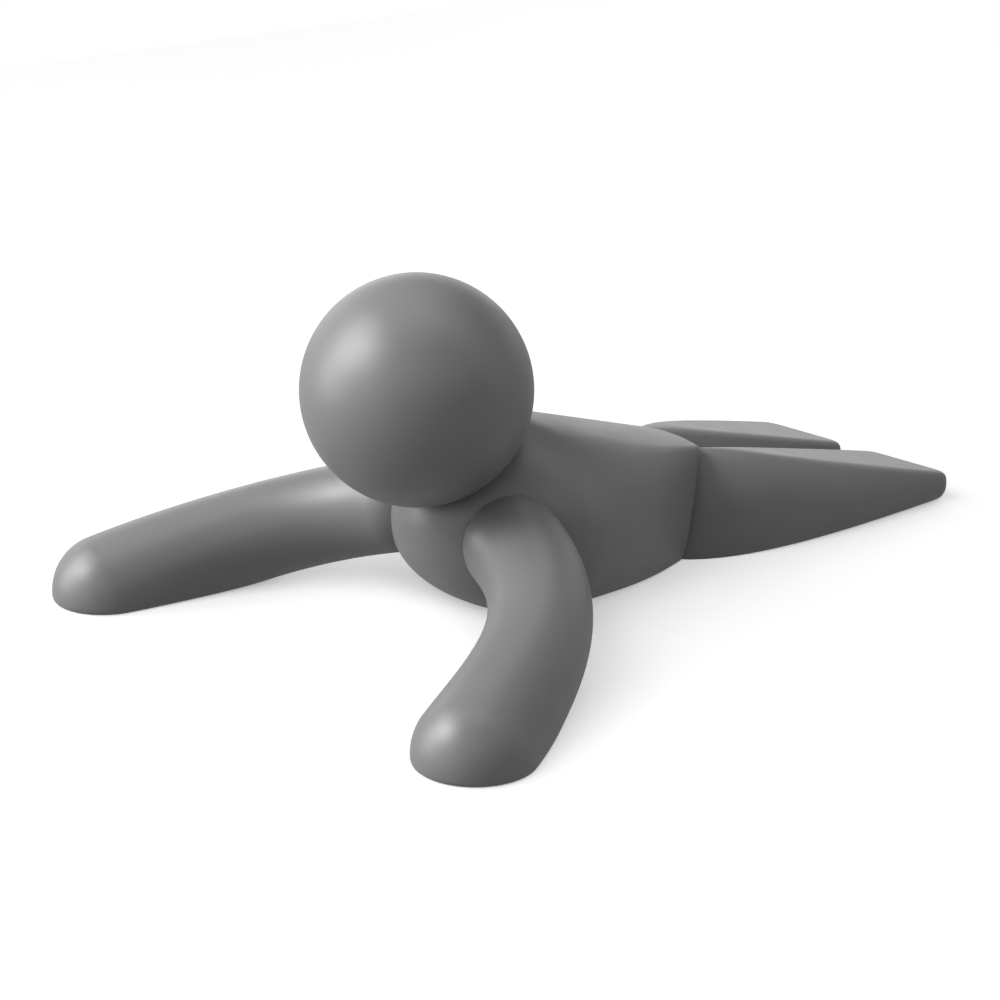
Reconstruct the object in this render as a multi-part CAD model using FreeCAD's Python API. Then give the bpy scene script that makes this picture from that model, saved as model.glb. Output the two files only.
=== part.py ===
"""Figure-shaped door wedge: a plain human figure lying face down.

Millimetres. Origin on the floor under the middle of the figure, +Z up, +Y towards the
feet (the thin end of the wedge), +X towards the figure's left arm. The figure is the
same on both sides of the plane x = 0, so the right limbs are mirrored left ones.
"""
import FreeCAD, Part
import math
import os

from FreeCAD import Vector

# ---- overall -----------------------------------------------------------------
HALF_LENGTH = 82.4          # floor origin to the toe ends, and to the fronts of the hands
CLEARANCE = 0.1             # gap between neighbouring parts
BELOW_FLOOR = 30.0          # depth of the block that trims every shape flat at z = 0

# ---- head --------------------------------------------------------------------
HEAD_RADIUS = 20.3
HEAD_CENTRE = Vector(0, -40.0, 43.4)
HEAD_CORE_RADIUS = 14.0

# ---- torso -------------------------------------------------------------------
CHEST_FRONT_Y = -41.0
CHEST_DOME_LENGTH = 25.3    # the rounded front of the chest
WAIST_Y = 23.2
TORSO_END_Y = 27.0          # sections run on past the hem and are trimmed there
# Each list runs from the chest front to the waist in four equal steps.
TORSO_HALF_WIDTH = (19.6, 22.3, 21.2, 15.9, 9.5)
TORSO_CROWN_Z = (33.0, 36.2, 33.0, 28.6, 26.8)   # top of the section before the back is cut
TORSO_WIDEST_Z = (17.5, 16.0, 15.1, 13.2, 10.5)
TORSO_KEEL_Z = (1.0, -1.7, -2.8, -3.6, -5.0)     # lowest point, before the floor cut
TORSO_TOP_POWER = (2.0, 2.0, 2.25, 3.0, 4.2)     # 2 is an ellipse, higher is boxier
TORSO_BOTTOM_POWER = (2.2, 2.2, 2.25, 3.0, 4.0)

BACK_Z_AT_ORIGIN = 29.55    # ridge line of the back, which falls towards the feet
BACK_SLOPE = 0.315
BACK_ARCH_RADIUS = 42.0     # the back's slight arch from side to side
HEM_Y_AT_FLOOR = 17.5       # the hem, a plane that leans back towards the feet
HEM_LEAN = 0.29

# ---- legs --------------------------------------------------------------------
# Leg sections lean like the hem, and are placed by their distance behind it.
LEG_INNER_X = 3.2
LEG_HIP_X = 9.9             # outer side at the hem
LEG_TOE_X = 24.9            # outer side that the flare runs towards
LEG_FLARE_LENGTH = 14.5
LEG_FLARE_POWER = 0.78
LEG_LENGTH = 61.0           # hem to toe end, measured at the top
# Each list runs from the hem to the toe end in three equal steps.
LEG_CROWN_Z = (20.4, 18.6, 16.0, 13.9)
LEG_WIDEST_Z = (9.2, 7.4, 5.6, 3.9)
LEG_KEEL_Z = (-5.1, -4.2, -3.1, -1.9)
LEG_TOP_POWER = 1.9
LEG_BOTTOM_POWER = 2.25
LEG_REACH = 67.0            # the sections run on past the toe end and are trimmed there
LEG_CROWDING = 1.6          # above 1 sets more sections near the hem, where the leg flares
LEG_FLAT_Z_AT_ORIGIN = 27.8  # the wedge face, a plane that falls to the toe ends
LEG_FLAT_SLOPE = 0.2645
TOE_CORNER_RADIUS = 3.0

# ---- arms --------------------------------------------------------------------
HAND_RADIUS = 10.35
ARM_RADII = (8.95, 9.05, HAND_RADIUS)            # shoulder, elbow, hand
ARM_CONTROL_POINTS = (
    Vector(15.8, -31.7, 16.7),
    Vector(37.0, -37.9, 10.5),
    Vector(43.9, -58.6, 6.7),
    Vector(49.2, HAND_RADIUS - HALF_LENGTH, 1.3),
)

# ---- pegs that hold the limbs and the head -------------------------------------
ARM_PEG_RADIUS = 2.5
ARM_PEG_LENGTH = 13.0       # from the shoulder centre
LEG_PEG_RADIUS = 2.5
LEG_PEG_X = 6.2
LEG_PEG_Z = 9.5
LEG_PEG_START_Y = 8.5
LEG_PEG_END_Y = 26.0
NECK_STUD_RADIUS = 2.0
NECK_STUD_START = 4.0       # distances from the head centre
NECK_STUD_END = 31.0
NECK_STUD_AIM = Vector(0, 14.0, -29.1)
NECK_STUD_CHAMFER = 0.4

# ---- the stiff core and what the belly holds -----------------------------------
PAD_THICKNESS = 1.2
PLATE_THICKNESS = 2.0
BELLY_FRONT_Y = -21.5       # front end of the grip pad
BELLY_REAR_Y = 15.0
PAD_HALF_WIDTH = 10.5
PLATE_INSET = 0.8           # plate and core stand this far inside the pad's outline
CORE_TOP_Z = 16.0
CHEST_BLOCK = (Vector(-7.0, -34.0, 12.0), Vector(7.0, -16.0, 23.0))
WEIGHT_LENGTH = 20.0
WEIGHT_WIDTH = 16.4
WEIGHT_HEIGHT = 10.8
WEIGHT_CORNER_RADIUS = 3.0
WEIGHT_Y = -3.2             # middle of the slug
SCREW_YS = (-17.6, 11.3)
SCREW_RADIUS = 1.5
SCREW_HEAD_RADIUS = 2.8
SCREW_LENGTH = 10.0
SCREW_SLOT_WIDTH = 0.8
SCREW_SLOT_DEPTH = 0.7

CORE_BOTTOM_Z = PAD_THICKNESS + PLATE_THICKNESS
SECTION_POINTS = 40
TORSO_STEPS = 8
LIMB_STEPS = 16
DOME_ANGLES = (4, 12, 24, 36, 48, 60, 72, 82)   # degrees from the very front of the chest
BLOCK_SIZE = 400.0          # a trimming block reaches past the whole figure


# ---- small helpers -------------------------------------------------------------
def through(values, t):
    """The polynomial that meets values at equal steps from t = 0 to t = 1."""
    steps = len(values) - 1
    total = 0.0
    for i, value in enumerate(values):
        weight = 1.0
        for j in range(steps + 1):
            if j != i:
                weight *= (steps * t - j) / (i - j)
        total += value * weight
    return total


def signed_power(value, power):
    return math.copysign(abs(value) ** power, value)


def section_wire(y, centre_x, half_width, keel_z, widest_z, crown_z, bottom_power, top_power,
                 lean=0.0):
    """A closed smooth section: a superellipse with its own top and bottom halves.

    Its plane meets the floor at y and leans back by lean for every unit of height.
    """
    points = []
    for i in range(SECTION_POINTS):
        angle = 2 * math.pi * i / SECTION_POINTS
        upper = math.sin(angle) >= 0
        power = 2.0 / (top_power if upper else bottom_power)
        height = crown_z - widest_z if upper else widest_z - keel_z
        x = centre_x + half_width * signed_power(math.cos(angle), power)
        z = widest_z + height * signed_power(math.sin(angle), power)
        points.append(Vector(x, y + lean * z, z))
    curve = Part.BSplineCurve()
    curve.interpolate(points, PeriodicFlag=True)
    return Part.Wire([curve.toShape()])


def above_plane(z_at_origin, slope):
    """A block that fills everything above the plane z = z_at_origin - slope * y."""
    block = Part.makeBox(BLOCK_SIZE, BLOCK_SIZE, BLOCK_SIZE)
    block.translate(Vector(-BLOCK_SIZE / 2, -BLOCK_SIZE / 2, 0))
    block.rotate(Vector(0, 0, 0), Vector(1, 0, 0), -math.degrees(math.atan(slope)))
    block.translate(Vector(0, 0, z_at_origin))
    return block


def behind_hem():
    """A block that fills everything on the feet side of the hem plane."""
    block = Part.makeBox(BLOCK_SIZE, BLOCK_SIZE, BLOCK_SIZE)
    block.translate(Vector(-BLOCK_SIZE / 2, 0, -BLOCK_SIZE / 2))
    block.rotate(Vector(0, 0, 0), Vector(1, 0, 0), -math.degrees(math.atan(HEM_LEAN)))
    block.translate(Vector(0, HEM_Y_AT_FLOOR, 0))
    return block


def under_back():
    """A long cylinder whose upper side is the arched back."""
    along = Vector(0, 1, -BACK_SLOPE)
    along.normalize()
    up = Vector(0, BACK_SLOPE, 1)
    up.normalize()
    middle = Vector(0, 0, BACK_Z_AT_ORIGIN) - up * BACK_ARCH_RADIUS
    start = middle - along * (BLOCK_SIZE / 2)
    return Part.makeCylinder(BACK_ARCH_RADIUS, BLOCK_SIZE, start, along)


def under_floor():
    block = Part.makeBox(BLOCK_SIZE, BLOCK_SIZE, BELOW_FLOOR)
    block.translate(Vector(-BLOCK_SIZE / 2, -BLOCK_SIZE / 2, -BELOW_FLOOR))
    return block


def rod(start, end, radius):
    axis = end - start
    return Part.makeCylinder(radius, axis.Length, start, axis)


def ball(centre, radius):
    return Part.makeSphere(radius, centre)


def slot_prism(front_y, rear_y, half_width, bottom_z, top_z):
    """An upright prism with two round ends, along Y."""
    front = front_y + half_width
    rear = rear_y - half_width
    height = top_z - bottom_z
    shape = Part.makeBox(2 * half_width, rear - front, height, Vector(-half_width, front, bottom_z))
    for y in (front, rear):
        shape = shape.fuse(Part.makeCylinder(half_width, height, Vector(0, y, bottom_z)))
    return shape.removeSplitter()


def mirrored(shape):
    return shape.mirror(Vector(0, 0, 0), Vector(1, 0, 0))


# ---- outer forms ---------------------------------------------------------------
def torso_stations():
    """Where the sections stand, with how far each has swollen out of the chest's dome."""
    stations = []
    for degrees in DOME_ANGLES:
        angle = math.radians(degrees)
        y = CHEST_FRONT_Y + CHEST_DOME_LENGTH * (1 - math.cos(angle))
        stations.append((y, math.sin(angle)))
    dome_end = CHEST_FRONT_Y + CHEST_DOME_LENGTH
    for i in range(TORSO_STEPS + 1):
        stations.append((dome_end + (TORSO_END_Y - dome_end) * i / TORSO_STEPS, 1.0))
    return stations


def torso_form():
    """The chest and waist, planed off along the back and at the floor, and cut at the hem."""
    wires = []
    for y, swell in torso_stations():
        t = (y - CHEST_FRONT_Y) / (WAIST_Y - CHEST_FRONT_Y)
        widest = through(TORSO_WIDEST_Z, t)
        crown = widest + swell * (through(TORSO_CROWN_Z, t) - widest)
        keel = widest - swell * (widest - through(TORSO_KEEL_Z, t))
        wires.append(section_wire(
            y, 0.0, swell * through(TORSO_HALF_WIDTH, t), keel, widest, crown,
            through(TORSO_BOTTOM_POWER, t), through(TORSO_TOP_POWER, t)))
    form = Part.makeLoft(wires, True, False)
    return form.common(under_back()).cut(behind_hem()).cut(under_floor())


def leg_outer_x(behind):
    """How far out the leg reaches at a distance behind the hem: it flares, then runs straight."""
    flare = math.exp(-(behind / LEG_FLARE_LENGTH) ** LEG_FLARE_POWER)
    return LEG_TOE_X - (LEG_TOE_X - LEG_HIP_X) * flare


def leg_form():
    """The left leg: a flaring hip that thins to a flat-topped wedge."""
    wires = []
    for i in range(LIMB_STEPS + 1):
        behind = CLEARANCE + (LEG_REACH - CLEARANCE) * (i / LIMB_STEPS) ** LEG_CROWDING
        t = behind / LEG_LENGTH
        outer_x = leg_outer_x(behind)
        wires.append(section_wire(
            HEM_Y_AT_FLOOR + behind, (outer_x + LEG_INNER_X) / 2, (outer_x - LEG_INNER_X) / 2,
            through(LEG_KEEL_Z, t), through(LEG_WIDEST_Z, t), through(LEG_CROWN_Z, t),
            LEG_BOTTOM_POWER, LEG_TOP_POWER, HEM_LEAN))
    form = Part.makeLoft(wires, True, False)
    form = form.cut(above_plane(LEG_FLAT_Z_AT_ORIGIN, LEG_FLAT_SLOPE))
    return form.cut(behind_toes()).cut(under_floor())


def behind_toes():
    block = Part.makeBox(BLOCK_SIZE, BLOCK_SIZE, BLOCK_SIZE)
    block.translate(Vector(-BLOCK_SIZE / 2, HALF_LENGTH, -BLOCK_SIZE / 2))
    return block


def toe_corner_trim(side_x, side):
    """What rounds one upright corner of the toe end; side is +1 outside, -1 inside."""
    centre = Vector(side_x - side * TOE_CORNER_RADIUS, HALF_LENGTH - TOE_CORNER_RADIUS, 0)
    reach = 2 * TOE_CORNER_RADIUS
    height = TORSO_WIDEST_Z[0]
    corner = Part.makeBox(reach, reach, height)
    corner.translate(centre + Vector(0 if side > 0 else -reach, 0, 0))
    return corner.cut(Part.makeCylinder(TOE_CORNER_RADIUS, height, centre))


def arm_point(t):
    """Point and direction of the arm's centre line, a cubic Bezier curve."""
    a, b, c, d = ARM_CONTROL_POINTS
    s = 1 - t
    point = a * s ** 3 + b * (3 * s * s * t) + c * (3 * s * t * t) + d * t ** 3
    direction = (b - a) * (3 * s * s) + (c - b) * (6 * s * t) + (d - c) * (3 * t * t)
    return point, direction


def arm_form(grow=0.0):
    """The left arm: a curved round bar with domed ends, flat where it lies on the floor."""
    wires = []
    for i in range(LIMB_STEPS + 1):
        point, direction = arm_point(i / LIMB_STEPS)
        circle = Part.Circle(point, direction, through(ARM_RADII, i / LIMB_STEPS) + grow)
        wires.append(Part.Wire([circle.toShape()]))
    form = Part.makeLoft(wires, True, False)
    form = form.fuse(ball(ARM_CONTROL_POINTS[0], ARM_RADII[0] + grow))
    form = form.fuse(ball(ARM_CONTROL_POINTS[-1], ARM_RADII[-1] + grow))
    return form.cut(under_floor())


def arm_peg(grow=0.0):
    shoulder, direction = arm_point(0.0)
    inward = Vector(direction)
    inward.normalize()
    return rod(shoulder, shoulder - inward * (ARM_PEG_LENGTH + grow), ARM_PEG_RADIUS + grow)


def leg_peg(grow=0.0):
    start = Vector(LEG_PEG_X, LEG_PEG_START_Y - grow, LEG_PEG_Z)
    return rod(start, Vector(LEG_PEG_X, LEG_PEG_END_Y, LEG_PEG_Z), LEG_PEG_RADIUS + grow)


def neck_rod(grow=0.0):
    aim = Vector(NECK_STUD_AIM)
    aim.normalize()
    start = HEAD_CENTRE + aim * (NECK_STUD_START - grow)
    return rod(start, HEAD_CENTRE + aim * (NECK_STUD_END + grow), NECK_STUD_RADIUS + grow)


def core_form(grow=0.0):
    """Outline of the stiff core: a low slab over the belly and a block in the chest."""
    half_width = PAD_HALF_WIDTH - PLATE_INSET + grow
    slab = slot_prism(BELLY_FRONT_Y + PLATE_INSET - grow, BELLY_REAR_Y - PLATE_INSET + grow,
                      half_width, CORE_BOTTOM_Z, CORE_TOP_Z + grow)
    low, high = CHEST_BLOCK
    size = high - low
    block = Part.makeBox(size.x + 2 * grow, size.y + 2 * grow, size.z + 2 * grow,
                         low - Vector(grow, grow, grow))
    return slab.fuse(block)


def weight_form(grow=0.0):
    length = WEIGHT_LENGTH + 2 * grow
    width = WEIGHT_WIDTH + 2 * grow
    height = WEIGHT_HEIGHT + grow
    slug = Part.makeBox(width, length, height,
                        Vector(-width / 2, WEIGHT_Y - length / 2, CORE_BOTTOM_Z))
    upright = [edge for edge in slug.Edges if abs(edge.tangentAt(edge.FirstParameter).z) > 0.99]
    return slug.makeFillet(WEIGHT_CORNER_RADIUS, upright)


# ---- the pieces ----------------------------------------------------------------
def build_torso(arms, legs):
    torso = torso_form()
    cutters = [
        ball(HEAD_CENTRE, HEAD_RADIUS + CLEARANCE),
        core_form(CLEARANCE),
        neck_rod(CLEARANCE),
        slot_prism(BELLY_FRONT_Y - CLEARANCE, BELLY_REAR_Y + CLEARANCE,
                   PAD_HALF_WIDTH + CLEARANCE, -1.0, PAD_THICKNESS),
        slot_prism(BELLY_FRONT_Y + PLATE_INSET - CLEARANCE, BELLY_REAR_Y - PLATE_INSET + CLEARANCE,
                   PAD_HALF_WIDTH - PLATE_INSET + CLEARANCE, 0.0, CORE_BOTTOM_Z + CLEARANCE),
    ]
    for cutter in cutters + arms + legs:
        torso = torso.cut(cutter)
    return torso


def build_head():
    skin = ball(HEAD_CENTRE, HEAD_RADIUS)
    skin = skin.cut(ball(HEAD_CENTRE, HEAD_CORE_RADIUS + CLEARANCE))
    return skin.cut(neck_rod(CLEARANCE))


def build_head_core():
    return ball(HEAD_CENTRE, HEAD_CORE_RADIUS).cut(neck_rod(CLEARANCE))


def build_neck_stud():
    stud = neck_rod()
    ends = [edge for edge in stud.Edges if edge.Closed]
    return stud.makeChamfer(NECK_STUD_CHAMFER, ends)


def build_arm():
    return arm_form().fuse(arm_peg())


def arm_socket():
    return arm_form(CLEARANCE).fuse(arm_peg(CLEARANCE))


def build_leg():
    leg = leg_form()
    outer_x = leg_outer_x(LEG_LENGTH)
    leg = leg.cut(toe_corner_trim(outer_x + CLEARANCE, +1)).cut(toe_corner_trim(LEG_INNER_X, -1))
    return leg.fuse(leg_peg())


def build_core_frame(arms, legs):
    frame = core_form()
    for cutter in arms + legs + [weight_form(CLEARANCE), neck_rod(CLEARANCE)]:
        frame = frame.cut(cutter)
    for y in SCREW_YS:
        frame = frame.cut(screw(y, plain=True))
    return frame


def build_belly_plate():
    plate = slot_prism(BELLY_FRONT_Y + PLATE_INSET, BELLY_REAR_Y - PLATE_INSET,
                       PAD_HALF_WIDTH - PLATE_INSET, PAD_THICKNESS, CORE_BOTTOM_Z)
    for y in SCREW_YS:
        plate = plate.cut(screw(y, plain=True))
    return plate


def screw(y, plain=False):
    """A countersunk screw at y, head down; plain leaves out the driver slot."""
    head_height = SCREW_HEAD_RADIUS - SCREW_RADIUS
    base = Vector(0, y, PAD_THICKNESS)
    head = Part.makeCone(SCREW_HEAD_RADIUS, SCREW_RADIUS, head_height, base)
    shank = Part.makeCylinder(SCREW_RADIUS, SCREW_LENGTH, base)
    shape = head.fuse(shank)
    if plain:
        return shape
    slot = Part.makeBox(2 * SCREW_HEAD_RADIUS, SCREW_SLOT_WIDTH, SCREW_SLOT_DEPTH,
                        base - Vector(SCREW_HEAD_RADIUS, SCREW_SLOT_WIDTH / 2, 0))
    return shape.cut(slot)


def build_grip_pad():
    return slot_prism(BELLY_FRONT_Y, BELLY_REAR_Y, PAD_HALF_WIDTH, 0.0, PAD_THICKNESS)


def build_pieces():
    arm = build_arm()
    leg = build_leg()
    arm_cut = arm_socket()
    leg_cut = leg_peg(CLEARANCE)
    arm_cuts = [arm_cut, mirrored(arm_cut)]
    leg_cuts = [leg_cut, mirrored(leg_cut)]
    return {
        "torso": build_torso(arm_cuts, leg_cuts),
        "head": build_head(),
        "left_arm": arm,
        "right_arm": mirrored(arm),
        "left_leg": leg,
        "right_leg": mirrored(leg),
        "core_frame": build_core_frame(arm_cuts, leg_cuts),
        "weight": weight_form(),
        "belly_plate": build_belly_plate(),
        "plate_screws": Part.makeCompound([screw(y) for y in SCREW_YS]),
        "grip_pad": build_grip_pad(),
        "head_core": build_head_core(),
        "neck_stud": build_neck_stud(),
    }


os.makedirs("parts", exist_ok=True)
for name, shape in build_pieces().items():
    shape.exportStep("parts/" + name + ".step")
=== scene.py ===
import itertools
import math

import bpy
import numpy as np
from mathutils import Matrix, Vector


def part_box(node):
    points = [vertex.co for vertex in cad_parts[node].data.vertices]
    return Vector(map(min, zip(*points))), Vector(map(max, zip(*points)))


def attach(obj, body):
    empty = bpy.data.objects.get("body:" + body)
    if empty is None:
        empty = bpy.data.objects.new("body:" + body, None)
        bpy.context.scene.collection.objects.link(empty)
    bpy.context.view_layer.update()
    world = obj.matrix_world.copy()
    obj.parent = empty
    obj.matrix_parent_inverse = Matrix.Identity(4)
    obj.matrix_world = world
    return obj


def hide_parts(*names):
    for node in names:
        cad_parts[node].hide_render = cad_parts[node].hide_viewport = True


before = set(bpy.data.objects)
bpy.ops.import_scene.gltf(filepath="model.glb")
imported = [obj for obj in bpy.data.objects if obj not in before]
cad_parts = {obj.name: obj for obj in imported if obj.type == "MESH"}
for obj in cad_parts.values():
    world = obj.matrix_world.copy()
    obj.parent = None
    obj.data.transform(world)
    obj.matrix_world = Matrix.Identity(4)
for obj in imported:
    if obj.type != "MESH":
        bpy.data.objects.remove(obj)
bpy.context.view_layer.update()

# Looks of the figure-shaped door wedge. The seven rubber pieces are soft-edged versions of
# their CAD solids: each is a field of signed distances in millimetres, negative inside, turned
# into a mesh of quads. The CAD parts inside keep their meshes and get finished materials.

MM = 0.001

# ---- the CAD model's driving sizes, in millimetres ------------------------------
HALF_LENGTH = 82.4
CLEARANCE = 0.1

HAND_RADIUS = 10.35
ARM_RADII = (8.95, 9.05, HAND_RADIUS)
ARM_CONTROL_POINTS = np.array([
    (15.8, -31.7, 16.7),
    (37.0, -37.9, 10.5),
    (43.9, -58.6, 6.7),
    (49.2, HAND_RADIUS - HALF_LENGTH, 1.3),
])
ARM_PEG_RADIUS = 2.5
ARM_PEG_LENGTH = 13.0

CHEST_FRONT_Y = -41.0
CHEST_DOME_LENGTH = 25.3
WAIST_Y = 23.2
TORSO_HALF_WIDTH = (19.6, 22.3, 21.2, 15.9, 9.5)
TORSO_CROWN_Z = (33.0, 36.2, 33.0, 28.6, 26.8)
TORSO_WIDEST_Z = (17.5, 16.0, 15.1, 13.2, 10.5)
TORSO_KEEL_Z = (1.0, -1.7, -2.8, -3.6, -5.0)
TORSO_TOP_POWER = (2.0, 2.0, 2.25, 3.0, 4.2)
TORSO_BOTTOM_POWER = (2.2, 2.2, 2.25, 3.0, 4.0)
BACK_Z_AT_ORIGIN = 29.55
BACK_SLOPE = 0.315
BACK_ARCH_RADIUS = 42.0
HEM_Y_AT_FLOOR = 17.5
HEM_LEAN = 0.29

LEG_INNER_X = 3.2
LEG_OUTER_X = (9.9, 24.9)
LEG_FLARE_LENGTH = 14.5
LEG_FLARE_POWER = 0.78
LEG_LENGTH = 61.0
LEG_CROWN_Z = (20.4, 18.6, 16.0, 13.9)
LEG_WIDEST_Z = (9.2, 7.4, 5.6, 3.9)
LEG_KEEL_Z = (-5.1, -4.2, -3.1, -1.9)
LEG_TOP_POWER = 1.9
LEG_BOTTOM_POWER = 2.25
LEG_FLAT_Z_AT_ORIGIN = 27.8
LEG_FLAT_SLOPE = 0.2645
LEG_PEG_RADIUS = 2.5
LEG_PEG = ((6.2, 8.5, 9.5), (6.2, 26.0, 9.5))

# How far the curves through the sections are followed, as shares of the way from end to end.
TORSO_CURVE_RANGE = (-0.05, 1.1)
LEG_CURVE_END = 1.1

NECK_STUD_RADIUS = 2.0
NECK_STUD_REACH = (4.0, 31.0)
NECK_STUD_AIM = np.array((0, 14.0, -29.1))
CORE_TOP_Z = 16.0
CHEST_BLOCK = np.array([(-7.0, -34.0, 12.0), (7.0, -16.0, 23.0)])

# ---- the tread under the grip pad: grooves across it, inside a plain rim -----------
TREAD_RIM = 1.6
TREAD_PITCH = 2.6
TREAD_GROOVE = 1.2
TREAD_DEPTH = 0.6

# ---- how soft each edge is, in millimetres ---------------------------------------
FLOOR_EDGE = 1.0
BACK_EDGE = 0.7
HEM_EDGE = 0.8
LEG_FLAT_EDGE = 1.2
TOE_END_EDGE = 2.6
HIDDEN_EDGE = 0.2

# How deep the torso's rubber seats press into the head and the limbs, so that no gap shows.
SEAT_SQUEEZE = 0.35

# ---- the grid that the meshes are taken from, in millimetres ----------------------------
CELL = 0.45
PAD_CELL = 0.3
GRID_MARGIN = 2.0

# ---- how points are moved onto a surface or a curve -----------------------------------
GRADIENT_STEP = 0.02    # millimetres either side of a point
SURFACE_STEPS = 6
SURFACE_REACH = 0.75    # how far a vertex may move along each axis, in cells
LEAST_STEEPNESS = 0.05  # keeps a step short where a field hardly changes
ARM_SAMPLES = 17
ARM_STEPS = 4
LEAST_BEND = 1.0        # keeps a step along the arm's centre line short
LEAST_SHARE = 1e-6      # this and the next keep a division by zero away
LEAST_LENGTH = 1e-9

# ---- materials --------------------------------------------------------------------
NOISE_RANGE = (0.3, 0.7)  # the part of a noise's range that it mostly stays in
PATCHES_PER_MOTTLE = 2.5
SKIN_SHEEN = 0.05
GRIP_SHEEN = 0.15

# ---- the studio, in metres; a light is (degrees left of the camera, elevation, watts) ----
# The camera comes from a numerical fit. So do the watts, of which some were then changed.
CAMERA_AZIMUTH = 46.54
CAMERA_ELEVATION = 19.12
CAMERA_DISTANCE = 0.4645
CAMERA_TARGET = Vector((0, -0.0202, 0.0186))
CAMERA_LENS = 92.5  # this and the next in millimetres
SENSOR_WIDTH = 36.0
CAMERA_CLIP_START = 0.01
LIGHT_TARGET = Vector((0, 0, 0.02))
KEY_DISTANCE = 0.9
KEY_SIZE = 0.35
FILL_DISTANCE = 1.2
FILL_SIZE = 0.8
KEY_LIGHT = (69, 38, 4.4)
OBJECT_FILLS = (
    (90, 40, 13.0), (90, 10, 9.3), (0, 88, 2.2), (0, 30, 1.7), (45, 12, 2.1), (-45, 30, 1.5),
    (-90, 15, 1.4), (-90, 45, 1.4), (-90, 70, 1.2), (-135, 15, 1.1), (135, 15, 0.9),
    (135, 45, 0.5), (160, 10, 1.6), (-160, 10, 0.8), (180, 5, 1.6), (180, 60, 1.4),
)
FLOOR_LIGHTS = (
    (0, 30, 7.9), (45, 45, 5.6), (90, 10, 8.0), (-135, 15, 5.6), (180, 35, 2.0), (90, 40, 2.0),
)
WORLD_GLOW = 1.0
WORLD_GLOW_BOUNCED = 0.02
FLOOR_HALF_WIDTH = 0.55
FLOOR_ROUGHNESS = 0.8
FLOOR_TONE = 0.88
FLOOR_TONE_BOUNCED = 0.4
FLOOR_GLOW = 0.36
FLOOR_GLOW_BOUNCED = 0.12


# ---- small helpers on arrays ------------------------------------------------------
def through(values, t):
    """The smooth curve (a polynomial) that meets values at equal steps from t = 0 to t = 1."""
    steps = len(values) - 1
    total = 0.0
    for i, value in enumerate(values):
        weight = 1.0
        for j in range(steps + 1):
            if j != i:
                weight = weight * (steps * t - j) / (i - j)
        total = total + value * weight
    return total


def box_mm(node):
    """Lowest and highest corner of a CAD node, in millimetres."""
    low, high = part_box(node)
    return np.array(low) / MM, np.array(high) / MM


def both(a, b, softness):
    """The space inside both fields, with the edge where they meet rounded off."""
    h = np.maximum(softness - np.abs(a - b), 0.0) / softness
    return np.maximum(a, b) + h * h * softness / 4


def either(a, b, softness):
    """The space inside one field or the other, with a soft fillet between them."""
    return -both(-a, -b, softness)


def without(a, b, softness):
    """The space inside a and outside b, with the edge where they meet rounded off."""
    return both(a, -b, softness)


# ---- fields -----------------------------------------------------------------------
def ball_field(p, centre, radius):
    return np.linalg.norm(p - np.asarray(centre), axis=-1) - radius


def rod_field(p, start, end, radius):
    """A round rod with flat ends."""
    start = np.asarray(start, float)
    axis = np.asarray(end, float) - start
    length = np.linalg.norm(axis)
    axis = axis / length
    along = (p - start) @ axis
    across = np.linalg.norm(p - start - along[..., None] * axis, axis=-1)
    return np.maximum(across - radius, np.abs(along - length / 2) - length / 2)


def slot_field(p, low, high):
    """An upright prism with two round ends, along Y, that fills the box low..high."""
    half_width = (high[0] - low[0]) / 2
    front = low[1] + half_width
    rear = high[1] - half_width
    y = p[..., 1] - np.clip(p[..., 1], front, rear)
    x = p[..., 0] - (low[0] + high[0]) / 2
    outline = np.hypot(x, y) - half_width
    middle = (low[2] + high[2]) / 2
    return np.maximum(outline, np.abs(p[..., 2] - middle) - (high[2] - low[2]) / 2)


def box_field(p, low, high):
    centre = (np.asarray(low) + np.asarray(high)) / 2
    half = (np.asarray(high) - np.asarray(low)) / 2
    return np.max(np.abs(p - centre) - half, axis=-1)


def section_field(x, z, half_width, keel_z, widest_z, crown_z, bottom_power, top_power,
                  dome=None, dome_length=1.0):
    """Distance, measured from the section's middle, to a superellipse section.

    dome is how far a point lies into the rounded end, as a share of dome_length.
    """
    upper = z >= widest_z
    power = np.where(upper, top_power, bottom_power)
    height = np.where(upper, crown_z - widest_z, widest_z - keel_z)
    dz = z - widest_z
    share = (np.abs(x / half_width) ** power + np.abs(dz / height) ** power) ** (1 / power)
    reach = x * x + dz * dz
    if dome is not None:
        share = np.sqrt(share ** 2 + dome ** 2)
        reach = reach + (dome * dome_length) ** 2
    return np.sqrt(reach) * (1 - 1 / np.maximum(share, LEAST_SHARE))


def plane_field(p, z_at_origin, slope):
    """Below the plane z = z_at_origin - slope * y."""
    return (p[..., 2] - z_at_origin + slope * p[..., 1]) / math.hypot(1, slope)


def behind_hem(p):
    """How far a point lies behind the leaning hem plane, measured along Y."""
    return p[..., 1] - HEM_Y_AT_FLOOR - HEM_LEAN * p[..., 2]


def hem_field(p):
    """In front of the hem plane."""
    return behind_hem(p) / math.hypot(1, HEM_LEAN)


def back_field(p):
    """Under the back, which arches gently from side to side."""
    height = plane_field(p, BACK_Z_AT_ORIGIN, BACK_SLOPE)
    return np.hypot(height + BACK_ARCH_RADIUS, p[..., 0]) - BACK_ARCH_RADIUS


def mirrored_to_left(p):
    """The same points with the right half folded over onto the left half."""
    q = p.copy()
    q[..., 0] = np.abs(q[..., 0])
    return q


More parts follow.
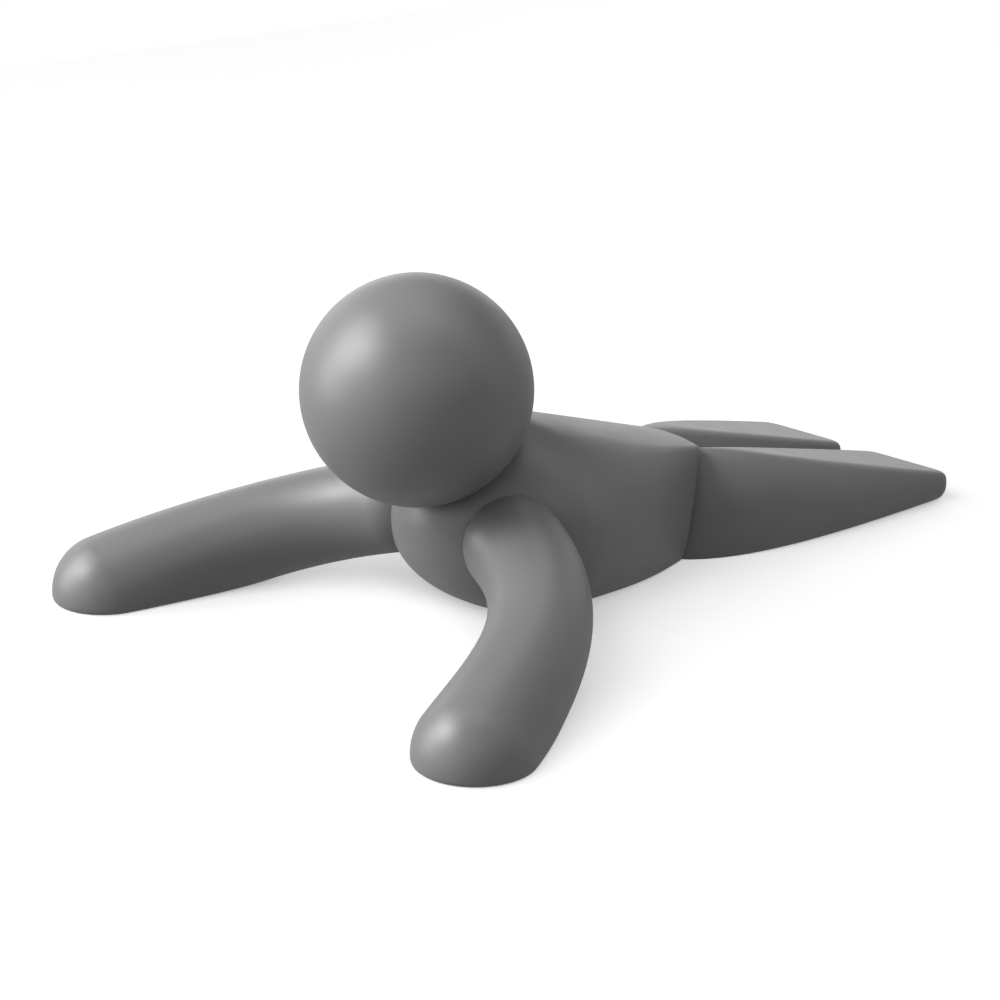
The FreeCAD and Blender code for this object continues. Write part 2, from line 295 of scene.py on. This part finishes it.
def arm_curve(t):
    """Point, first and second derivative of the arm's centre line, a cubic Bezier."""
    a, b, c, d = ARM_CONTROL_POINTS
    t = t[..., None]
    s = 1 - t
    point = a * s ** 3 + b * 3 * s * s * t + c * 3 * s * t * t + d * t ** 3
    first = (b - a) * 3 * s * s + (c - b) * 6 * s * t + (d - c) * 3 * t * t
    second = (c - 2 * b + a) * 6 * s + (d - 2 * c + b) * 6 * t
    return point, first, second


def arm_field(p):
    """The left arm without its peg, before the floor cut.

    The nearest point of the centre line is picked from samples, then refined in Newton steps.
    """
    samples = np.linspace(0, 1, ARM_SAMPLES)
    points = arm_curve(samples)[0]
    nearest = np.full(p.shape[:-1], np.inf)
    t = np.zeros(p.shape[:-1])
    for sample, point in zip(samples, points):
        distance = np.sum((p - point) ** 2, axis=-1)
        closer = distance < nearest
        nearest = np.where(closer, distance, nearest)
        t = np.where(closer, sample, t)
    for _ in range(ARM_STEPS):
        point, first, second = arm_curve(t)
        offset = point - p
        slope = np.sum(offset * first, axis=-1)
        bend = np.sum(first * first, axis=-1) + np.sum(offset * second, axis=-1)
        t = np.clip(t - slope / np.maximum(bend, LEAST_BEND), 0, 1)
    return np.linalg.norm(arm_curve(t)[0] - p, axis=-1) - through(ARM_RADII, t)


def arm_peg_field(p):
    shoulder = ARM_CONTROL_POINTS[0]
    inward = shoulder - ARM_CONTROL_POINTS[1]
    inward = inward / np.linalg.norm(inward)
    return rod_field(p, shoulder, shoulder + inward * ARM_PEG_LENGTH, ARM_PEG_RADIUS)


def leg_field(p):
    """The left leg's outside, before the hem and floor cuts."""
    along = np.clip(behind_hem(p), 0, LEG_CURVE_END * LEG_LENGTH)
    t = along / LEG_LENGTH
    hip_x, toe_x = LEG_OUTER_X
    outer = toe_x - (toe_x - hip_x) * np.exp(-(along / LEG_FLARE_LENGTH) ** LEG_FLARE_POWER)
    leg = section_field(
        p[..., 0] - (outer + LEG_INNER_X) / 2, p[..., 2], (outer - LEG_INNER_X) / 2,
        through(LEG_KEEL_Z, t), through(LEG_WIDEST_Z, t), through(LEG_CROWN_Z, t),
        LEG_BOTTOM_POWER, LEG_TOP_POWER)
    leg = both(leg, p[..., 1] - HALF_LENGTH, TOE_END_EDGE)
    return both(leg, plane_field(p, LEG_FLAT_Z_AT_ORIGIN, LEG_FLAT_SLOPE), LEG_FLAT_EDGE)


def leg_peg_field(p):
    return rod_field(p, LEG_PEG[0], LEG_PEG[1], LEG_PEG_RADIUS)


def torso_outside(p):
    """The torso's outside, before its seats, sockets and the floor cut."""
    t = np.clip((p[..., 1] - CHEST_FRONT_Y) / (WAIST_Y - CHEST_FRONT_Y), *TORSO_CURVE_RANGE)
    dome = np.maximum(CHEST_FRONT_Y + CHEST_DOME_LENGTH - p[..., 1], 0) / CHEST_DOME_LENGTH
    torso = section_field(
        p[..., 0], p[..., 2],
        through(TORSO_HALF_WIDTH, t), through(TORSO_KEEL_Z, t),
        through(TORSO_WIDEST_Z, t), through(TORSO_CROWN_Z, t),
        through(TORSO_BOTTOM_POWER, t), through(TORSO_TOP_POWER, t),
        dome, CHEST_DOME_LENGTH)
    torso = both(torso, back_field(p), BACK_EDGE)
    return both(torso, hem_field(p), HEM_EDGE)


def head_size():
    """Centre and radius of the head."""
    low, high = box_mm("head")
    return (low + high) / 2, (high[0] - low[0]) / 2


def neck_stud_field(p):
    centre, _ = head_size()
    aim = NECK_STUD_AIM / np.linalg.norm(NECK_STUD_AIM)
    start, end = NECK_STUD_REACH
    return rod_field(p, centre + aim * start, centre + aim * end, NECK_STUD_RADIUS)


def core_field(p):
    """The stiff core: a slab as wide as the belly plate, and a block in the chest."""
    low, high = box_mm("belly_plate")
    slab = slot_field(p, low, np.array([high[0], high[1], CORE_TOP_Z]))
    return np.minimum(slab, box_field(p, *CHEST_BLOCK))


def torso_field(p):
    left = mirrored_to_left(p)
    centre, radius = head_size()
    torso = both(torso_outside(p), -p[..., 2], FLOOR_EDGE)
    torso = without(torso, ball_field(p, centre, radius - SEAT_SQUEEZE), HIDDEN_EDGE)
    torso = without(torso, arm_field(left) + SEAT_SQUEEZE, HIDDEN_EDGE)
    low, high = box_mm("grip_pad")
    pocket = slot_field(p, low - (CLEARANCE, CLEARANCE, GRID_MARGIN), high + CLEARANCE)
    torso = without(torso, pocket, HIDDEN_EDGE)
    held = np.minimum(arm_peg_field(left), leg_peg_field(left))
    held = np.minimum(held, np.minimum(neck_stud_field(p), core_field(p)))
    return without(torso, held - CLEARANCE, HIDDEN_EDGE)


def head_field(p):
    centre, radius = head_size()
    low, high = box_mm("head_core")
    core = ball_field(p, centre, (high[2] - low[2]) / 2)
    held = np.minimum(core, neck_stud_field(p))
    return without(ball_field(p, centre, radius), held - CLEARANCE, HIDDEN_EDGE)


def left_arm_field(p):
    arm = both(arm_field(p), -p[..., 2], FLOOR_EDGE)
    return either(arm, arm_peg_field(p), HIDDEN_EDGE)


def left_leg_field(p):
    leg = both(leg_field(p), -p[..., 2], FLOOR_EDGE)
    leg = both(leg, -SEAT_SQUEEZE - hem_field(p), HIDDEN_EDGE)
    return either(leg, leg_peg_field(p), HIDDEN_EDGE)


def grip_pad_field(p):
    low, high = box_mm("grip_pad")
    pad = slot_field(p, low, high)
    tread = slot_field(p, low + (TREAD_RIM, TREAD_RIM, -GRID_MARGIN),
                       np.array([high[0] - TREAD_RIM, high[1] - TREAD_RIM, low[2] + TREAD_DEPTH]))
    phase = (p[..., 1] - (low[1] + high[1]) / 2) / TREAD_PITCH
    groove = np.abs(phase - np.round(phase)) * TREAD_PITCH - TREAD_GROOVE / 2
    return without(pad, both(tread, groove, HIDDEN_EDGE), HIDDEN_EDGE)


# ---- from field to mesh --------------------------------------------------------------
def gradient(field, p):
    parts = []
    for axis in range(3):
        shift = np.zeros(3)
        shift[axis] = GRADIENT_STEP
        parts.append((field(p + shift) - field(p - shift)) / (2 * GRADIENT_STEP))
    return np.stack(parts, axis=-1)


def quads_of_cells(inside, number):
    """One quad around every grid edge that the surface crosses.

    inside says for each grid point whether it is in the piece, number is each cell's vertex.
    """
    quads = []
    for axis in range(3):
        near = inside.take(range(inside.shape[axis] - 1), axis)
        far = inside.take(range(1, inside.shape[axis]), axis)
        u, v = (axis + 1) % 3, (axis + 2) % 3
        crossing = np.argwhere(near != far)
        crossing = crossing[(crossing[:, u] > 0) & (crossing[:, v] > 0)]
        leaving = near[tuple(crossing.T)]
        corners = []
        for du, dv in ((1, 1), (0, 1), (0, 0), (1, 0)):
            cell = crossing.copy()
            cell[:, u] -= du
            cell[:, v] -= dv
            corners.append(number[tuple(cell.T)])
        quad = np.stack(corners, axis=-1)
        quad[~leaving] = quad[~leaving][:, ::-1]
        quads.append(quad)
    return np.concatenate(quads)


def net_of_field(field, low, high, cell):
    """Vertices, normals and quads of the surface where field is zero.

    Each cell with corners on both sides of it gets one vertex, which then moves onto it.
    """
    axes = [np.arange(low[i] - GRID_MARGIN, high[i] + GRID_MARGIN, cell) for i in range(3)]
    grid = np.stack(np.meshgrid(*axes, indexing="ij"), axis=-1)
    value = np.concatenate([field(slab[None]) for slab in grid])
    inside = value < 0
    count = np.zeros([n - 1 for n in inside.shape], int)
    for corner in itertools.product((0, 1), repeat=3):
        count += inside[tuple(slice(d, d + n) for d, n in zip(corner, count.shape))]
    mixed = (count > 0) & (count < 8)
    number = np.full(count.shape, -1)
    number[mixed] = np.arange(mixed.sum())
    cells = np.argwhere(mixed)
    p = np.stack([axes[i][0] + (cells[:, i] + 0.5) * cell for i in range(3)], axis=-1)
    start = p.copy()
    reach = SURFACE_REACH * cell
    for _ in range(SURFACE_STEPS):
        slope = gradient(field, p)
        steepness = np.maximum(np.sum(slope * slope, axis=-1), LEAST_STEEPNESS)
        p = p - slope * (field(p) / steepness)[:, None]
        p = start + np.clip(p - start, -reach, reach)
    normal = gradient(field, p)
    normal = normal / np.maximum(np.linalg.norm(normal, axis=-1, keepdims=True), LEAST_LENGTH)
    return p, normal, quads_of_cells(inside, number)


def piece_from_net(name, points, normals, quads, material, node, slot="skin_rubber"):
    """The Blender piece that stands for a CAD node."""
    mesh = bpy.data.meshes.new(name)
    mesh.from_pydata((points * MM).tolist(), [], quads.tolist())
    mesh.shade_smooth()
    mesh.normals_split_custom_set_from_vertices(normals.tolist())
    mesh.materials.append(material)
    piece = bpy.data.objects.new(name, mesh)
    bpy.context.scene.collection.objects.link(piece)
    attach(piece, "root")
    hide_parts(node)
    return piece


def mirror_net(points, normals, quads):
    flip = np.array([-1.0, 1.0, 1.0])
    return points * flip, normals * flip, quads[:, ::-1]


# ---- materials -------------------------------------------------------------------------
def new_material(name):
    material = bpy.data.materials.new(name)
    material.use_nodes = True
    return material, material.node_tree.nodes, material.node_tree.links


def noise(nodes, links, position, scale, detail, roughness=0.5):
    node = nodes.new("ShaderNodeTexNoise")
    node.inputs["Scale"].default_value = scale
    node.inputs["Detail"].default_value = detail
    node.inputs["Roughness"].default_value = roughness
    links.new(position, node.inputs["Vector"])
    return node.outputs["Fac"]


def spread(nodes, links, value, low, high):
    """A noise value widened, so that it runs from low to high."""
    node = nodes.new("ShaderNodeMapRange")
    node.inputs["From Min"].default_value = NOISE_RANGE[0]
    node.inputs["From Max"].default_value = NOISE_RANGE[1]
    node.inputs["To Min"].default_value = low
    node.inputs["To Max"].default_value = high
    links.new(value, node.inputs["Value"])
    return node.outputs["Result"]


def stretched(nodes, links, position, stretch):
    node = nodes.new("ShaderNodeVectorMath")
    node.operation = "MULTIPLY"
    node.inputs[1].default_value = stretch
    links.new(position, node.inputs[0])
    return node.outputs["Vector"]


def uneven_finish(name, dark, light, mottle, rough, grain, depth, stretch=(1, 1, 1)):
    """A finish whose shade, roughness and grain all come from noise.

    mottle and grain are how many noise cells fit in a metre, depth is the grain's height in
    metres, rough the lowest and highest roughness. A stretch below 1 draws the grain out.
    """
    material, nodes, links = new_material(name)
    shader = nodes["Principled BSDF"]
    place = nodes.new("ShaderNodeTexCoord").outputs["Object"]
    drawn = stretched(nodes, links, place, stretch)
    shade = nodes.new("ShaderNodeMix")
    shade.data_type = "RGBA"
    shade.inputs["A"].default_value = (*dark, 1)
    shade.inputs["B"].default_value = (*light, 1)
    links.new(noise(nodes, links, drawn, mottle, 3), shade.inputs["Factor"])
    links.new(shade.outputs["Result"], shader.inputs["Base Color"])
    patches = noise(nodes, links, place, PATCHES_PER_MOTTLE * mottle, 4)
    links.new(spread(nodes, links, patches, *rough), shader.inputs["Roughness"])
    bump = nodes.new("ShaderNodeBump")
    bump.inputs["Distance"].default_value = depth
    links.new(noise(nodes, links, drawn, grain, 2), bump.inputs["Height"])
    links.new(bump.outputs["Normal"], shader.inputs["Normal"])
    return material, shader


def skin_rubber():
    """Soft-touch moulded rubber: satin, with a grain too fine to see from afar."""
    material, shader = uneven_finish(
        "skin_rubber", dark=(0.123, 0.1246, 0.1266), light=(0.135, 0.1366, 0.1386),
        mottle=60, rough=(0.40, 0.46), grain=3500, depth=0.000004)
    shader.inputs["Sheen Weight"].default_value = SKIN_SHEEN
    return material


def grip_rubber():
    """Matt black rubber, a little dusty."""
    material, shader = uneven_finish(
        "grip_rubber", dark=(0.035, 0.035, 0.037), light=(0.06, 0.06, 0.06),
        mottle=220, rough=(0.75, 0.92), grain=2600, depth=0.00004)
    shader.inputs["Sheen Weight"].default_value = GRIP_SHEEN
    return material


def core_plastic():
    """Glass-filled nylon: pale grey, with fibres drawn out along the flow."""
    return uneven_finish(
        "core_plastic", dark=(0.18, 0.18, 0.19), light=(0.27, 0.27, 0.275),
        mottle=700, rough=(0.45, 0.65), grain=1800, depth=0.00002, stretch=(1, 0.15, 1))[0]


def plate_plastic():
    """Moulded black plastic with a spark-eroded texture."""
    return uneven_finish(
        "plate_plastic", dark=(0.07, 0.07, 0.075), light=(0.09, 0.09, 0.095),
        mottle=150, rough=(0.5, 0.6), grain=3000, depth=0.00003)[0]


def weight_steel():
    """Sawn bar, tumbled: saw marks across it, with duller patches."""
    material, shader = uneven_finish(
        "weight_steel", dark=(0.38, 0.37, 0.36), light=(0.56, 0.56, 0.55),
        mottle=500, rough=(0.32, 0.6), grain=2400, depth=0.00003, stretch=(0.08, 1, 1))
    shader.inputs["Metallic"].default_value = 1.0
    return material


def fastener_steel():
    """Zinc plate: bright and slightly blue, with a fine crystalline mottle."""
    material, shader = uneven_finish(
        "fastener_steel", dark=(0.52, 0.53, 0.56), light=(0.68, 0.69, 0.70),
        mottle=900, rough=(0.2, 0.4), grain=4000, depth=0.000008)
    shader.inputs["Metallic"].default_value = 1.0
    return material


# ---- build ---------------------------------------------------------------------------
def build_skins():
    rubber = skin_rubber()
    for node, field in (("torso", torso_field), ("head", head_field)):
        net = net_of_field(field, *box_mm(node), CELL)
        piece_from_net(node + "_skin", *net, rubber, node)
    for limb, field in (("arm", left_arm_field), ("leg", left_leg_field)):
        net = net_of_field(field, *box_mm("left_" + limb), CELL)
        piece_from_net("left_" + limb + "_skin", *net, rubber, "left_" + limb)
        piece_from_net("right_" + limb + "_skin", *mirror_net(*net), rubber, "right_" + limb)


def build_grip_pad():
    net = net_of_field(grip_pad_field, *box_mm("grip_pad"), PAD_CELL)
    piece_from_net("grip_pad_tread", *net, grip_rubber(), "grip_pad", "grip_rubber")


def finish_hidden_parts():
    """The CAD parts inside keep their meshes; each gets its own finish."""
    finishes = {
        core_plastic(): ("core_frame", "head_core"),
        plate_plastic(): ("belly_plate",),
        weight_steel(): ("weight",),
        fastener_steel(): ("plate_screws", "neck_stud"),
    }
    for material, parts in finishes.items():
        for part in parts:
            for material_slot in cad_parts[part].material_slots:
                material_slot.material = material


def camera_or_bounce(nodes, links, to_camera, bounced):
    """One value for what the camera sees directly, another for light bounced on from there."""
    choice = nodes.new("ShaderNodeMapRange")
    choice.inputs["To Min"].default_value = bounced
    choice.inputs["To Max"].default_value = to_camera
    seen = nodes.new("ShaderNodeLightPath").outputs["Is Camera Ray"]
    links.new(seen, choice.inputs["Value"])
    return choice.outputs["Result"]


def floor_finish():
    """Matt white paper that glows a little, and throws less light back than it shows."""
    material, nodes, links = new_material("studio_floor")
    shader = nodes["Principled BSDF"]
    tone = camera_or_bounce(nodes, links, FLOOR_TONE, FLOOR_TONE_BOUNCED)
    glow = camera_or_bounce(nodes, links, FLOOR_GLOW, FLOOR_GLOW_BOUNCED)
    links.new(tone, shader.inputs["Base Color"])
    links.new(glow, shader.inputs["Emission Strength"])
    shader.inputs["Emission Color"].default_value = (1, 1, 1, 1)
    shader.inputs["Roughness"].default_value = FLOOR_ROUGHNESS
    shader.inputs["Specular IOR Level"].default_value = 0.0
    return material


def add_floor():
    mesh = bpy.data.meshes.new("studio_floor")
    half = FLOOR_HALF_WIDTH
    corners = [(-half, -half, 0), (half, -half, 0), (half, half, 0), (-half, half, 0)]
    mesh.from_pydata(corners, [], [(0, 1, 2, 3)])
    mesh.materials.append(floor_finish())
    floor = bpy.data.objects.new("studio_floor", mesh)
    bpy.context.scene.collection.objects.link(floor)
    return floor


def view_direction(azimuth, elevation):
    """Unit vector from the object towards a viewer; azimuth 0 looks along +Y."""
    a, e = math.radians(azimuth), math.radians(elevation)
    return Vector((math.sin(a) * math.cos(e), -math.cos(a) * math.cos(e), math.sin(e)))


def add_camera():
    camera_data = bpy.data.cameras.new("camera")
    camera_data.sensor_width = SENSOR_WIDTH
    camera_data.lens = CAMERA_LENS
    camera_data.clip_start = CAMERA_CLIP_START
    camera = bpy.data.objects.new("camera", camera_data)
    direction = view_direction(CAMERA_AZIMUTH, CAMERA_ELEVATION)
    camera.location = CAMERA_TARGET + direction * CAMERA_DISTANCE
    camera.rotation_euler = direction.to_track_quat("Z", "Y").to_euler()
    bpy.context.scene.collection.objects.link(camera)
    bpy.context.scene.camera = camera


def light_group(name, floor, state):
    """What a light shines on: the floor alone, or everything else."""
    group = bpy.data.collections.new(name)
    group.objects.link(floor)
    group.collection_objects[0].light_linking.link_state = state
    return group


def add_softbox(name, place_and_power, distance, size, lit):
    """A round softbox that shines on the objects that lit lets it."""
    left_of_camera, elevation, power = place_and_power
    direction = view_direction(CAMERA_AZIMUTH - left_of_camera, elevation)
    light = bpy.data.lights.new(name, "AREA")
    light.shape = "DISK"
    light.size = size
    light.energy = power
    lamp = bpy.data.objects.new(name, light)
    lamp.location = LIGHT_TARGET + direction * distance
    lamp.rotation_euler = direction.to_track_quat("Z", "Y").to_euler()
    lamp.light_linking.receiver_collection = lit
    bpy.context.scene.collection.objects.link(lamp)


def add_lights(floor):
    """One key from the left, weak fills all around, and separate lights for the floor."""
    lit = light_group("all_but_floor", floor, "EXCLUDE")
    add_softbox("key", KEY_LIGHT, KEY_DISTANCE, KEY_SIZE, lit)
    for light in OBJECT_FILLS:
        add_softbox("object_fill", light, FILL_DISTANCE, FILL_SIZE, lit)
    lit = light_group("floor_only", floor, "INCLUDE")
    for light in FLOOR_LIGHTS:
        add_softbox("floor_light", light, FILL_DISTANCE, FILL_SIZE, lit)


def set_world():
    """White to the camera, nearly dark to everything else."""
    world = bpy.data.worlds.new("studio")
    world.use_nodes = True
    nodes, links = world.node_tree.nodes, world.node_tree.links
    background = nodes["Background"]
    background.inputs["Color"].default_value = (1, 1, 1, 1)
    strength = camera_or_bounce(nodes, links, WORLD_GLOW, WORLD_GLOW_BOUNCED)
    links.new(strength, background.inputs["Strength"])
    bpy.context.scene.world = world


build_skins()
build_grip_pad()
finish_hidden_parts()
studio = add_floor()
add_camera()
add_lights(studio)
set_world()
bpy.context.scene.view_settings.view_transform = "Standard"
